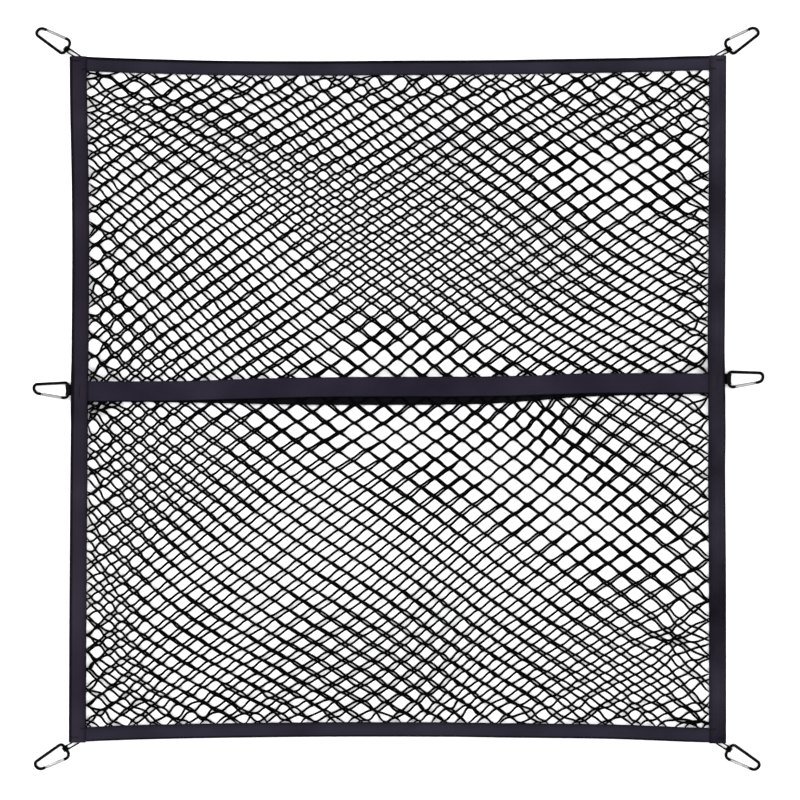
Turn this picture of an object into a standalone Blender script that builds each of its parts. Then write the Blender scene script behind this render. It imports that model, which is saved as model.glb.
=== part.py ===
"""Elastic cargo net for a car boot, laid out flat: two layers of netting in a webbing border, a webbing
band across the middle of each layer, and six snap clips, four on cord loops and two in webbing tabs.

Metres, +Z up. X runs across the net, Y up its length, and the surface it lies on is Z = 0.
The origin is the middle of the part's footprint on that surface.
"""

import math

import bmesh
import bpy
from mathutils import Matrix, Vector

# Driving dimensions
CLOTH = 0.001             # thickness of a layer of tape or netting
GAP = 0.0003              # between layers that touch
LAYER = CLOTH + GAP       # step from one layer to the next
SLACK = 0.0002            # extra room between layers that follow each other over swells
SIDE_WIDTH = 0.0236       # border tape, folded, at the sides
END_WIDTH = 0.0200        # border tape, folded, at the top and bottom
NET_INSET = 0.005         # the net's own edge, in from the border's fold
END_REACH = 0.0065        # how far the end borders reach into the side borders
SQUEEZE = 0.010           # length over which their flaps close up before that
BAND_WIDTH = 0.0275       # webbing band across the middle
BAND_INSET = 0.007        # the band's ends, in from the side borders' folds

# Lines of the nets' grids: distances in from the folds, and from the bands' shared middle line.
# The second line is the edge of the part held flat by the border, and the third is where it is free.
SIDE_MARGIN = 0.0020      # held flat past the side borders, and past the end borders
END_MARGIN = 0.0006
SIDE_LINES = (NET_INSET, SIDE_WIDTH + SQUEEZE + SIDE_MARGIN, 0.090)
END_LINES = (NET_INSET, END_WIDTH + END_MARGIN, 0.085)
BAND_LINES = (0.0, 0.0215, 0.0325, 0.0435)
NET_COLUMNS = 18
NET_ROWS = 22
FOLD_COLUMNS = 8          # faces across a folded tape
SIDE_STEPS = 8            # lengths of tape above and below the bands, in an end tape, and in a band
END_STEPS = 12
BAND_STEPS = 18

# Soft waves of the nets as they lie: height, and wave lengths over 2 pi across and along
RIPPLE_HEIGHT = 0.0010    # back net
RIPPLE_ACROSS = 0.043
RIPPLE_ALONG = 0.051
SWELL_HEIGHT = 0.0011     # front net, over the back one
SWELL_ACROSS = 0.062
SWELL_ALONG = 0.047
BAND_PRESS = 0.7          # share of the waves that the bands flatten

# Outlines, each read as a smooth curve. Sides: (y, x) of the fold. Ends: (x, y) of the fold.
LEFT_FOLD = ((-0.4715, -0.4556), (-0.300, -0.4549), (-0.140, -0.4538), (0.050, -0.4520),
             (0.200, -0.4510), (0.300, -0.4517), (0.400, -0.4538), (0.4705, -0.4545))
RIGHT_FOLD = ((-0.4725, 0.4468), (-0.250, 0.4467), (-0.100, 0.4456), (-0.040, 0.4461),
              (0.030, 0.4448), (0.100, 0.4451), (0.250, 0.4463), (0.4715, 0.4469))
TOP_FOLD = ((-0.447, 0.4707), (-0.398, 0.4685), (-0.340, 0.4667), (-0.250, 0.4645), (-0.130, 0.4638),
            (0.000, 0.4646), (0.120, 0.4652), (0.220, 0.4668), (0.340, 0.4689), (0.400, 0.4708),
            (0.446, 0.4713))
BOTTOM_FOLD = ((-0.447, -0.4710), (-0.397, -0.4688), (-0.330, -0.4668), (-0.230, -0.4650),
               (-0.100, -0.4637), (0.060, -0.4638), (0.150, -0.4650), (0.280, -0.4665),
               (0.343, -0.4686), (0.397, -0.4708), (0.446, -0.4718))
# Middle line of each band: (x, y)
FRONT_BAND = ((-0.446, 0.0104), (-0.300, 0.0112), (-0.200, 0.0142), (-0.085, 0.0164),
              (0.110, 0.0172), (0.180, 0.0187), (0.260, 0.0215), (0.438, 0.0216))
BACK_BAND = ((-0.446, 0.0100), (-0.300, 0.0090), (-0.140, 0.0058), (0.000, 0.0054),
             (0.110, 0.0068), (0.180, 0.0109), (0.260, 0.0171), (0.438, 0.0212))

# Snap clip. S runs along the spine from the narrow end, T from the spine's outer side to the gate's.
ROD = 0.0019              # radius of the body's rod
GATE_ROD = 0.0021         # radius of the gate
CLIP_LENGTH = 0.0515
CLIP_CORNERS = (          # s, t, fillet: middle line of the rod
    (CLIP_LENGTH - ROD, 0.0240, 0.0065),
    (CLIP_LENGTH - ROD, ROD, 0.0045),
    (ROD, ROD, 0.0050),
    (ROD, 0.0135, 0.0075),
)
CLIP_STEP = math.radians(15)   # turn of each step round the fillets
GATE_START = 0.0135       # s of the gate's pivot, near the narrow end
GATE_END = 0.0392         # s of the gate's free end
GATE_CLEARANCE = 0.0003   # round the tongue and the pin, and at the nose
SLOT_OVERSHOOT = 0.004    # how far the slot's cutter starts before the pivot
TONGUE_THICK = 0.0015     # the body's flat tongue in the gate's slot
TONGUE_RADIUS = 0.0015
TONGUE_ROOT = 0.0012      # how far it reaches into the rod
TONGUE_SIDES = 16
PIN = 0.00065             # radius of the pivot pin
PIN_HEIGHT = 0.0044

# Elastic cord loops, wound round the rod at the clip's wide end
CORD = 0.0010             # radius
WRAP_CLEARANCE = 0.00035
WRAP_RADIUS = ROD + WRAP_CLEARANCE + CORD
WRAP_FROM = 0.0078        # t of the first and the last turn
WRAP_TO = 0.0136
WRAP_START = math.radians(62)            # where the cord meets the rod, from the clip's far end
WRAP_END = math.radians(270 + 2 * 360)   # where it leaves, after two more turns
WRAP_STEPS = 26
ROUTE_STEPS = 2           # steps between a strand's points
CORD_LEVEL = CLOTH + GAP + CLOTH + GAP / 2

# Tabs: webbing folded round the rod, both legs sewn under the side border
TAB_LOOSENESS = 0.0010    # between the rod and the webbing
TAB_RADIUS = ROD + TAB_LOOSENESS + CLOTH / 2
TAB_WIDTH = 0.0148
TAB_LEG = 0.016           # length of each leg in from the border's fold
TAB_COLUMNS = 6           # faces across
TAB_LIFT = 2 * LAYER      # how far the legs raise the border

# Corner clips: wound point (x, y), heading of the spine towards the net in degrees, and side of the
# gate (+1 to the left of the heading).
CORNER_CLIPS = {
    "top_left": ((-0.4582, 0.4797), -36.6, 1),
    "top_right": ((0.4501, 0.4793), -141.8, -1),
    "bottom_left": ((-0.4597, -0.4795), 35.4, -1),
    "bottom_right": ((0.4504, -0.4802), 144.3, 1),
}
# Each cord's two strands, (x, y, z): from its sewn end to the first turn, and on from the last turn.
CORD_STRANDS = {
    "top_left": (
        ((-0.4440, 0.4620, CORD_LEVEL), (-0.4462, 0.4685, CORD_LEVEL), (-0.4505, 0.4715, CORD_LEVEL),
         (-0.4545, 0.4740, 0.0042)),
        ((-0.4520, 0.4789, 0.0012), (-0.4411, 0.4713, 0.0022), (-0.4396, 0.4685, CORD_LEVEL),
         (-0.4392, 0.4620, CORD_LEVEL)),
    ),
    "top_right": (
        ((0.4365, 0.4625, CORD_LEVEL), (0.4384, 0.4692, CORD_LEVEL), (0.4421, 0.4722, CORD_LEVEL),
         (0.4464, 0.4742, 0.0042)),
        ((0.4440, 0.4790, 0.0012), (0.4326, 0.4723, 0.0022), (0.4316, 0.4694, CORD_LEVEL),
         (0.4315, 0.4625, CORD_LEVEL)),
    ),
    "bottom_left": (
        ((-0.4480, -0.4625, CORD_LEVEL), (-0.4494, -0.4695, CORD_LEVEL), (-0.4521, -0.4722, CORD_LEVEL),
         (-0.4560, -0.4742, 0.0042)),
        ((-0.4540, -0.4792, 0.0012), (-0.4424, -0.4723, 0.0022), (-0.4406, -0.4694, CORD_LEVEL),
         (-0.4403, -0.4625, CORD_LEVEL)),
    ),
    "bottom_right": (
        ((0.4395, -0.4635, CORD_LEVEL), (0.4410, -0.4703, CORD_LEVEL), (0.4439, -0.4732, CORD_LEVEL),
         (0.4474, -0.4751, 0.0042)),
        ((0.4445, -0.4798, 0.0012), (0.4343, -0.4733, 0.0022), (0.4325, -0.4704, CORD_LEVEL),
         (0.4320, -0.4635, CORD_LEVEL)),
    ),
}
# Side clips: middle of the tab on the rod (x, y), heading in degrees, side, and t of the tab's middle
SIDE_CLIPS = {
    "left": ((-0.4556, 0.0123), 3.0, -1, 0.0121),
    "right": ((0.4496, 0.0274), 178.2, 1, 0.01175),
}
CORNER_ROD_HEIGHT = WRAP_RADIUS + CORD
SIDE_ROD_HEIGHT = TAB_RADIUS + CLOTH / 2
NARROW_END_HEIGHT = ROD


def material(name, colour, roughness, metallic=0.0):
    made = bpy.data.materials.new(name)
    made.use_nodes = True
    shader = made.node_tree.nodes["Principled BSDF"]
    shader.inputs["Base Color"].default_value = (*colour, 1.0)
    shader.inputs["Roughness"].default_value = roughness
    shader.inputs["Metallic"].default_value = metallic
    return made


def fade(distance, full, none):
    """1 up to the full distance, falling evenly to 0 at the other."""
    return min(max((none - distance) / (none - full), 0.0), 1.0)


def along(rows, place):
    """Read (place, value) rows at a place, as a smooth curve through them."""
    last = len(rows) - 1
    slopes = []
    for index in range(last + 1):
        before = rows[max(index - 1, 0)]
        after = rows[min(index + 1, last)]
        slopes.append((after[1] - before[1]) / (after[0] - before[0]))
    place = min(max(place, rows[0][0]), rows[last][0])
    index = 0
    while index < last - 1 and place > rows[index + 1][0]:
        index += 1
    start, end = rows[index], rows[index + 1]
    span = end[0] - start[0]
    t = (place - start[0]) / span
    return ((2 * t ** 3 - 3 * t ** 2 + 1) * start[1] + (t ** 3 - 2 * t ** 2 + t) * span * slopes[index]
            + (3 * t ** 2 - 2 * t ** 3) * end[1] + (t ** 3 - t ** 2) * span * slopes[index + 1])


def mix(start, end, share):
    return start + (end - start) * share


def bands_middle(x):
    """Line along the middle of the stretch that the two bands cover together."""
    return (along(FRONT_BAND, x) + along(BACK_BAND, x)) / 2


def band_zone(x, y):
    """1 where the bands lie, falling to 0 away from them."""
    return fade(abs(y - bands_middle(x)), BAND_LINES[1], BAND_LINES[-1])


def edge_weights(x, y):
    """How firmly the left, right and end borders hold a point of the net: 1 near them, 0 well inside."""
    left = fade(x - along(LEFT_FOLD, y), SIDE_LINES[1], SIDE_LINES[2])
    right = fade(along(RIGHT_FOLD, y) - x, SIDE_LINES[1], SIDE_LINES[2])
    top = fade(along(TOP_FOLD, x) - y, END_LINES[1], END_LINES[2])
    bottom = fade(y - along(BOTTOM_FOLD, x), END_LINES[1], END_LINES[2])
    return left, right, max(top, bottom)


def back_level(x, y):
    """Middle of the back net: inside the fold at the border, down on the surface further in."""
    left, right, ends = edge_weights(x, y)
    zone = band_zone(x, y)
    held = CLOTH / 2 + LAYER + zone * TAB_LIFT
    wave = math.sin(x / RIPPLE_ACROSS + 0.8) * math.cos(y / RIPPLE_ALONG - 0.6)
    ripple = RIPPLE_HEIGHT * (1.0 + wave) * (1.0 - BAND_PRESS * zone)
    return mix(CLOTH / 2 + ripple, held, max(left, right, ends))


def front_level(x, y):
    """Middle of the front net: over the back net and the back band, with its own soft swells."""
    edge = max(edge_weights(x, y))
    zone = band_zone(x, y)
    wave = math.sin(x / SWELL_ACROSS - 1.4) * math.sin(y / SWELL_ALONG + 0.9)
    swell = SWELL_HEIGHT * (1.0 + wave) * (1.0 - BAND_PRESS * zone)
    return back_level(x, y) + LAYER + zone * (LAYER + 2 * SLACK) + (1.0 - edge) * swell


def new_object(name, data, finish, collection):
    made = bpy.data.objects.new(name, data)
    made.data.materials.append(finish)
    collection.objects.link(made)
    return made


def cloth_grid(name, columns, rows, place, finish, collection, keep=None):
    """A sheet of cloth: a grid whose point (i, j) goes to place(i, j), thickened about its middle."""
    mesh = bpy.data.meshes.new(name)
    sheet = bmesh.new()
    bmesh.ops.create_grid(sheet, x_segments=columns, y_segments=rows, size=0.5)
    for point in sheet.verts:
        i = round((point.co.x + 0.5) * columns)
        j = round((point.co.y + 0.5) * rows)
        point.co = place(i, j)
    if keep:
        left_out = [face for face in sheet.faces if not keep(face.calc_center_median())]
        bmesh.ops.delete(sheet, geom=left_out, context="FACES")
    bmesh.ops.recalc_face_normals(sheet, faces=sheet.faces)
    sheet.to_mesh(mesh)
    sheet.free()
    made = new_object(name, mesh, finish, collection)
    made.data.shade_smooth()
    thicken = made.modifiers.new("Thickness", "SOLIDIFY")
    thicken.thickness = CLOTH
    thicken.offset = 0.0
    thicken.use_even_offset = True
    return made


def steps(*pieces):
    """Stations from (start, end, count) pieces that follow each other."""
    stations = [pieces[0][0]]
    for start, end, count in pieces:
        stations += [mix(start, end, step / count) for step in range(1, count + 1)]
    return stations


def fold_section(width, low, high, index):
    """Point (distance in from the fold, height) number 0 to 8 of a folded tape's section."""
    radius = (high - low) / 2
    start = CLOTH / 2 + radius
    flaps = {0: (width, low), 1: (mix(start, width, 0.5), low),
             7: (mix(start, width, 0.5), high), 8: (width, high)}
    if index in flaps:
        return flaps[index]
    turn = math.radians(-90 + 45 * (index - 2))
    return start - radius * math.cos(turn), (low + high) / 2 + radius * math.sin(turn)


def side_border(side, fold, inward, finish, collection):
    """Tape folded over the nets along a side, raised over the tab and swollen over the bands' ends."""
    middle = bands_middle(along(fold, 0.0))
    below = [middle - line for line in reversed(BAND_LINES)]
    above = [middle + line for line in BAND_LINES]
    stations = (steps((fold[0][0], below[0], SIDE_STEPS)) + below[1:] + above[1:]
                + steps((above[-1], fold[-1][0], SIDE_STEPS))[1:])

    def place(i, j):
        y = stations[j]
        x = along(fold, y)
        zone = fade(abs(y - middle), BAND_LINES[1], BAND_LINES[-1])
        low = CLOTH / 2 + zone * TAB_LIFT
        high = low + 3 * LAYER + zone * (2 * LAYER + 4 * SLACK)
        across, height = fold_section(SIDE_WIDTH, low, high, i)
        return Vector((x + inward * across, y, height))

    return cloth_grid("border_" + side, FOLD_COLUMNS, len(stations) - 1, place, finish, collection)


def end_border(end, fold, inward, finish, collection):
    """Tape folded over the nets along the top or bottom, its ends closed up inside the side borders."""
    middle = fold[len(fold) // 2][1]
    inner = (along(LEFT_FOLD, middle) + SIDE_WIDTH, along(RIGHT_FOLD, middle) - SIDE_WIDTH)
    stations = steps((inner[0] - END_REACH, inner[0] + GAP, 1), (inner[0] + GAP, inner[0] + SQUEEZE, 2),
                     (inner[0] + SQUEEZE, inner[1] - SQUEEZE, END_STEPS),
                     (inner[1] - SQUEEZE, inner[1] - GAP, 2), (inner[1] - GAP, inner[1] + END_REACH, 1))

    def place(i, j):
        x = stations[j]
        closed = fade(min(x - inner[0], inner[1] - x), GAP, SQUEEZE)
        low = CLOTH / 2 + closed * LAYER
        high = CLOTH / 2 + 3 * LAYER - closed * LAYER
        across, height = fold_section(END_WIDTH, low, high, i)
        return Vector((x, along(fold, x) + inward * across, height))

    return cloth_grid("border_" + end, FOLD_COLUMNS, len(stations) - 1, place, finish, collection)


def spaced(low, high, near_low, near_high, count):
    """Places from low to high: at set distances near each end, and even between."""
    first = [low + distance for distance in near_low]
    last = [high - distance for distance in reversed(near_high)]
    inner = count + 1 - len(first) - len(last)
    between = [mix(first[-1], last[0], step / (inner + 1)) for step in range(1, inner + 1)]
    return first + between + last


def net_layer(name, level, finish, collection):
    """One layer of netting as a plain sheet, its edge inside the border and its corners cut away."""
    half = NET_ROWS // 2

    def place(i, j):
        x = spaced(LEFT_FOLD[0][1], RIGHT_FOLD[0][1], SIDE_LINES, SIDE_LINES, NET_COLUMNS)[i]
        if j <= half:
            y = spaced(along(BOTTOM_FOLD, x), bands_middle(x), END_LINES, BAND_LINES, half)[j]
        else:
            y = spaced(bands_middle(x), along(TOP_FOLD, x), BAND_LINES, END_LINES, half)[j - half]
        x = spaced(along(LEFT_FOLD, y), along(RIGHT_FOLD, y), SIDE_LINES, SIDE_LINES, NET_COLUMNS)[i]
        return Vector((x, y, level(x, y)))

    def keep(middle):
        side = min(middle.x - along(LEFT_FOLD, middle.y), along(RIGHT_FOLD, middle.y) - middle.x)
        end = min(along(TOP_FOLD, middle.x) - middle.y, middle.y - along(BOTTOM_FOLD, middle.x))
        return side > SIDE_LINES[1] or end > END_LINES[1]

    return cloth_grid(name, NET_COLUMNS, 2 * half, place, finish, collection, keep)


def band(name, line, level, finish, collection):
    """Webbing band across the nets, its ends inside the side borders."""
    start = along(LEFT_FOLD, line[0][1]) + BAND_INSET
    end = along(RIGHT_FOLD, line[-1][1]) - BAND_INSET
    held, free = SIDE_LINES[1] - BAND_INSET, SIDE_LINES[2] - BAND_INSET
    stations = steps((start, start + held, 1), (start + held, start + free, 3),
                     (start + free, end - free, BAND_STEPS),
                     (end - free, end - held, 3), (end - held, end, 1))

    def place(i, j):
        x = stations[j]
        y = along(line, x) + BAND_WIDTH * (i / 2 - 0.5)
        return Vector((x, y, level(x, y) + LAYER + SLACK))

    return cloth_grid(name, 2, len(stations) - 1, place, finish, collection)


def rounded(corners, start, end, step):
    """Points from start to end round the corners, each (s, t, fillet), with arcs for the fillets."""
    stops = [Vector(start)] + [Vector(corner[:2]) for corner in corners] + [Vector(end)]
    points = [stops[0]]
    for index, corner in enumerate(corners):
        here = stops[index + 1]
        back = (stops[index] - here).normalized()
        onward = (stops[index + 2] - here).normalized()
        half = back.angle(onward) / 2
        centre = here + (back + onward).normalized() * corner[2] / math.sin(half)
        first = here + back * corner[2] / math.tan(half) - centre
        turn = math.copysign(math.pi - 2 * half, back.x * onward.y - back.y * onward.x) * -1
        count = max(2, round(abs(turn) / step))
        for number in range(count + 1):
            points.append(centre + Matrix.Rotation(turn * number / count, 2) @ first)
    return points + [stops[-1]]


def clip_lines():
    """Pivot, free end and heading of the gate, on the line from the narrow end to the wide end."""
    wide, narrow = Vector(CLIP_CORNERS[0][:2]), Vector(CLIP_CORNERS[-1][:2])
    heading = (wide - narrow).normalized()
    pivot = narrow + heading * (GATE_START - narrow.x) / heading.x
    free = narrow + heading * (GATE_END - narrow.x) / heading.x
    return pivot, free, heading


def wide_end(t):
    """How far short of the wide end's full length the rod's middle line lies at t."""
    pivot, free, _ = clip_lines()
    line = [point for point in rounded(CLIP_CORNERS, free, pivot, CLIP_STEP) if point.x > CLIP_LENGTH / 2]
    for one, other in zip(line, line[1:]):
        if other.y <= t <= one.y:
            return CLIP_LENGTH - ROD - mix(other.x, one.x, (t - other.y) / (one.y - other.y))
    return 0.0


def tab(side, fold, inward, finish, collection):
    """Webbing folded round a side clip's bowed rod, both legs lying under the side border."""
    (x, middle), heading, _, across_clip = SIDE_CLIPS[side]
    lean = math.tan(math.radians(heading))
    edge = (along(fold, middle) - x) * inward
    bend = SIDE_ROD_HEIGHT - CLOTH / 2 - LAYER
    loop = [(edge + TAB_LEG, CLOTH / 2), (edge / 2, CLOTH / 2)]
    for angle in range(270, -1, -30):
        turn = math.radians(angle)
        loop.append((TAB_RADIUS * math.cos(turn), SIDE_ROD_HEIGHT + TAB_RADIUS * math.sin(turn)))
    for angle in (30, 60, 90):
        turn = math.radians(angle)
        loop.append((TAB_RADIUS + bend * (1 - math.cos(turn)), SIDE_ROD_HEIGHT - bend * math.sin(turn)))
    loop.append((edge + TAB_LEG, CLOTH / 2 + LAYER))

    def place(i, j):
        across, height = loop[j]
        out = TAB_WIDTH * (i / TAB_COLUMNS - 0.5)
        rod = x - lean * out - inward * wide_end(across_clip - out)
        return Vector((rod + inward * across, middle + out, height))

    return cloth_grid("tab_" + side, TAB_COLUMNS, len(loop) - 1, place, finish, collection)


def rod_mesh(name, points, radius):
    """A round rod along flat points, as a mesh: a bevelled POLY curve with its caps welded on."""
    curve = bpy.data.curves.new(name, "CURVE")
    curve.dimensions = "3D"
    curve.bevel_depth = radius
    curve.bevel_resolution = 2
    curve.use_fill_caps = True
    spline = curve.splines.new("POLY")
    spline.points.add(len(points) - 1)
    for point, target in zip(spline.points, points):
        point.co = (*target, 1.0)
    holder = bpy.data.objects.new(name, curve)
    bpy.context.scene.collection.objects.link(holder)
    depsgraph = bpy.context.evaluated_depsgraph_get()
    mesh = bpy.data.meshes.new_from_object(holder.evaluated_get(depsgraph))
    bpy.data.objects.remove(holder)
    bpy.data.curves.remove(curve)
    solid = bmesh.new()
    solid.from_mesh(mesh)
    bmesh.ops.remove_doubles(solid, verts=solid.verts, dist=1e-6)
    solid.to_mesh(mesh)
    solid.free()
    return mesh


def cutter(name, shape, collection, **sizes):
    """A helper solid for the Booleans: a box, drum or ball."""
    mesh = bpy.data.meshes.new(name)
    solid = bmesh.new()
    if shape == "box":
        bmesh.ops.create_cube(solid, size=1.0, matrix=sizes["matrix"])
    elif shape == "drum":
        bmesh.ops.create_cone(solid, cap_ends=True, segments=sizes["segments"], radius1=sizes["radius"],
                              radius2=sizes["radius"], depth=sizes["depth"], matrix=sizes["matrix"])
    else:
        bmesh.ops.create_uvsphere(solid, u_segments=12, v_segments=8, radius=sizes["radius"])
    solid.to_mesh(mesh)
    solid.free()
    made = bpy.data.objects.new(name, mesh)
    made.hide_render = True
    made.display_type = "WIRE"
    collection.objects.link(made)
    return made


def joined(name, mesh, operations):
    """The mesh after its Booleans, applied."""
    holder = bpy.data.objects.new(name, mesh)
    bpy.context.scene.collection.objects.link(holder)
    for operation, tool in operations:
        boolean = holder.modifiers.new(tool.name, "BOOLEAN")
        boolean.operation = operation
        boolean.solver = "EXACT"
        boolean.object = tool
    depsgraph = bpy.context.evaluated_depsgraph_get()
    result = bpy.data.meshes.new_from_object(holder.evaluated_get(depsgraph))
    result.name = name
    bpy.data.objects.remove(holder)
    result.shade_smooth()
    result.set_sharp_from_angle(angle=math.radians(40))
    return result


def box_matrix(middle, size):
    return Matrix.Translation(middle) @ Matrix.Diagonal((*size, 1.0))


def clip_body_mesh(cutters):
    """The clip's bent rod, with the gate's tongue and pin at its narrow end."""
    pivot, free, heading = clip_lines()
    nose = free + heading * GATE_CLEARANCE
    shoulder = pivot - heading * (GATE_ROD + GATE_CLEARANCE)
    flat = rounded(CLIP_CORNERS, nose, shoulder, CLIP_STEP)
    rod = rod_mesh("clip_rod", [Vector((point.x, point.y, 0.0)) for point in flat], ROD)
    turn = Matrix.Translation((*pivot, 0.0)) @ Matrix.Rotation(math.atan2(heading.y, heading.x), 4, "Z")
    root = GATE_ROD + GATE_CLEARANCE + TONGUE_ROOT
    plate = turn @ box_matrix((-root / 2, 0.0, 0.0), (root, 2 * TONGUE_RADIUS, TONGUE_THICK))
    tools = (
        cutter("tongue_plate", "box", cutters, matrix=plate),
        cutter("tongue_end", "drum", cutters, segments=TONGUE_SIDES, radius=TONGUE_RADIUS,
               depth=TONGUE_THICK, matrix=turn @ Matrix.Rotation(math.pi / TONGUE_SIDES, 4, "Z")),
        cutter("pivot_pin", "drum", cutters, segments=10, radius=PIN, depth=PIN_HEIGHT, matrix=turn),
    )
    return joined("clip_body", rod, [("UNION", tool) for tool in tools])


def gate_mesh(cutters):
    """The gate: a rod along +X from its pivot, rounded, slotted and drilled at the pivot's end."""
    pivot, free, _ = clip_lines()
    length = (free - pivot).length
    lying = Matrix.Translation((length / 2, 0.0, 0.0)) @ Matrix.Rotation(math.radians(90), 4, "Y")
    rod = cutter("gate_rod", "drum", cutters, segments=12, radius=GATE_ROD, depth=length, matrix=lying)
    slot = TONGUE_RADIUS + GATE_CLEARANCE
    slot_box = box_matrix(((slot - SLOT_OVERSHOOT) / 2, 0.0, 0.0),
                          (slot + SLOT_OVERSHOOT, 4 * GATE_ROD, TONGUE_THICK + 2 * GATE_CLEARANCE))
    tools = (
        ("UNION", cutter("gate_ball", "ball", cutters, radius=GATE_ROD)),
        ("DIFFERENCE", cutter("gate_slot", "box", cutters, matrix=slot_box)),
        ("DIFFERENCE", cutter("gate_hole", "drum", cutters, segments=10, radius=PIN + GATE_CLEARANCE,
                              depth=4 * GATE_ROD, matrix=Matrix.Identity(4))),
    )
    return joined("gate", rod.data, tools)


def clip_frame(point, heading, side, across, rod_height):
    """Matrix of a clip whose rod middle, at (wide end, across), stands over a point of the plan."""
    wide = CLIP_LENGTH - ROD
    tilt = math.asin((rod_height - NARROW_END_HEIGHT) / (wide - ROD))
    flip = 0.0 if side > 0 else math.pi
    return (Matrix.Translation((*point, rod_height)) @ Matrix.Rotation(math.radians(heading), 4, "Z")
            @ Matrix.Rotation(-tilt, 4, "Y") @ Matrix.Rotation(flip, 4, "X")
            @ Matrix.Translation((-wide, -across, 0.0)))


def place_clip(name, frame, body_mesh, gate, collection):
    """A clip's body, and its gate with its origin on the pivot."""
    pivot, _, heading = clip_lines()
    body = bpy.data.objects.new("clip_" + name, body_mesh)
    body.matrix_world = frame
    collection.objects.link(body)
    leaf = bpy.data.objects.new("gate_" + name, gate)
    leaf.matrix_world = (frame @ Matrix.Translation((*pivot, 0.0))
                         @ Matrix.Rotation(math.atan2(heading.y, heading.x), 4, "Z"))
    collection.objects.link(leaf)


def smooth_route(stops, each):
    """Points on a Catmull-Rom curve through the stops, a number of steps for each stretch."""
    points = []
    for index in range(len(stops) - 1):
        before = stops[max(index - 1, 0)]
        start, end = stops[index], stops[index + 1]
        after = stops[min(index + 2, len(stops) - 1)]
        for step in range(each):
            t = step / each
            points.append(0.5 * ((2 * start) + (end - before) * t
                                 + (2 * before - 5 * start + 4 * end - after) * t ** 2
                                 + (3 * start - before - 3 * end + after) * t ** 3))
    return points + [stops[-1]]


def cord_loop(name, frame, side, finish, collection):
    """Elastic cord from the border's open end, round the clip's rod, and back into the border."""
    turns = []
    for step in range(WRAP_STEPS + 1):
        share = step / WRAP_STEPS
        angle = mix(WRAP_START, WRAP_END, share)
        turns.append(frame @ Vector((CLIP_LENGTH - ROD + WRAP_RADIUS * math.cos(angle),
                                     mix(WRAP_FROM, WRAP_TO, share),
                                     side * WRAP_RADIUS * math.sin(angle))))
    first, last = CORD_STRANDS[name]
    coming = smooth_route([Vector(point) for point in first] + [turns[0]], ROUTE_STEPS)
    going = smooth_route([turns[-1]] + [Vector(point) for point in last], ROUTE_STEPS)
    route = coming[:-1] + turns + going[1:]
    curve = bpy.data.curves.new("cord_" + name, "CURVE")
    curve.dimensions = "3D"
    curve.bevel_depth = CORD
    curve.bevel_resolution = 2
    curve.use_fill_caps = True
    spline = curve.splines.new("POLY")
    spline.points.add(len(route) - 1)
    for point, target in zip(spline.points, route):
        point.co = (*target, 1.0)
    return new_object("cord_" + name, curve, finish, collection)


def build():
    for old in list(bpy.data.objects):
        bpy.data.objects.remove(old)
    part = bpy.data.collections.new("cargo_net")
    cutters = bpy.data.collections.new("cutters")
    bpy.context.scene.collection.children.link(part)
    bpy.context.scene.collection.children.link(cutters)

    netting = material("netting", (0.010, 0.009, 0.011), 0.50)
    webbing = material("webbing", (0.020, 0.017, 0.026), 0.80)
    elastic = material("elastic", (0.008, 0.008, 0.009), 0.60)
    anodised = material("black_metal", (0.006, 0.006, 0.007), 0.35, 0.6)
    bright = material("bright_metal", (0.80, 0.80, 0.81), 0.22, 1.0)

    net_layer("net_back", back_level, netting, part)
    net_layer("net_front", front_level, netting, part)
    side_border("left", LEFT_FOLD, 1, webbing, part)
    side_border("right", RIGHT_FOLD, -1, webbing, part)
    end_border("top", TOP_FOLD, -1, webbing, part)
    end_border("bottom", BOTTOM_FOLD, 1, webbing, part)
    band("band_front", FRONT_BAND, front_level, webbing, part)
    band("band_back", BACK_BAND, back_level, webbing, part)
    tab("left", LEFT_FOLD, 1, webbing, part)
    tab("right", RIGHT_FOLD, -1, webbing, part)

    body = clip_body_mesh(cutters)
    body.materials.append(anodised)
    gate = gate_mesh(cutters)
    gate.materials.append(bright)
    for name, (point, heading, side) in CORNER_CLIPS.items():
        frame = clip_frame(point, heading, side, (WRAP_FROM + WRAP_TO) / 2, CORNER_ROD_HEIGHT)
        place_clip(name, frame, body, gate, part)
        cord_loop(name, frame, side, elastic, part)
    for name, (point, heading, side, across) in SIDE_CLIPS.items():
        frame = clip_frame(point, heading, side, across, SIDE_ROD_HEIGHT)
        place_clip(name, frame, body, gate, part)


build()
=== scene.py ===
"""Looks of the cargo net: knotless strands, folded webbing, sewing, elastic cords and snap clips, built
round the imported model. Metres, +Z up, in the frame of the model.
"""

import math
import random

import bmesh
import bpy
from mathutils import Matrix, Vector, noise
from mathutils.bvhtree import BVHTree


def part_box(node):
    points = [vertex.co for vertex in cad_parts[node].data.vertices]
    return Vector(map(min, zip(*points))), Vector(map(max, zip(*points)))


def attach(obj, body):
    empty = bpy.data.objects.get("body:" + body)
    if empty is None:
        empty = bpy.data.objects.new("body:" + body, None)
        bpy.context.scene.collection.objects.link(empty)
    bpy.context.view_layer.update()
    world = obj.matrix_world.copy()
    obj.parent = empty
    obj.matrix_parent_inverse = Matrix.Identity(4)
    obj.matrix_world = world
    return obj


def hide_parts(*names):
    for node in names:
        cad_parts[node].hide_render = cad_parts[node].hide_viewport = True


# Outlines: the folds of the side tapes as (y, x) and of the end tapes as (x, y)
LEFT_FOLD = ((-0.4715, -0.4556), (-0.300, -0.4549), (-0.140, -0.4538), (0.050, -0.4520),
             (0.200, -0.4510), (0.300, -0.4517), (0.400, -0.4538), (0.4705, -0.4545))
RIGHT_FOLD = ((-0.4725, 0.4468), (-0.250, 0.4467), (-0.100, 0.4456), (-0.040, 0.4461),
              (0.030, 0.4448), (0.100, 0.4451), (0.250, 0.4463), (0.4715, 0.4469))
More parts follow.
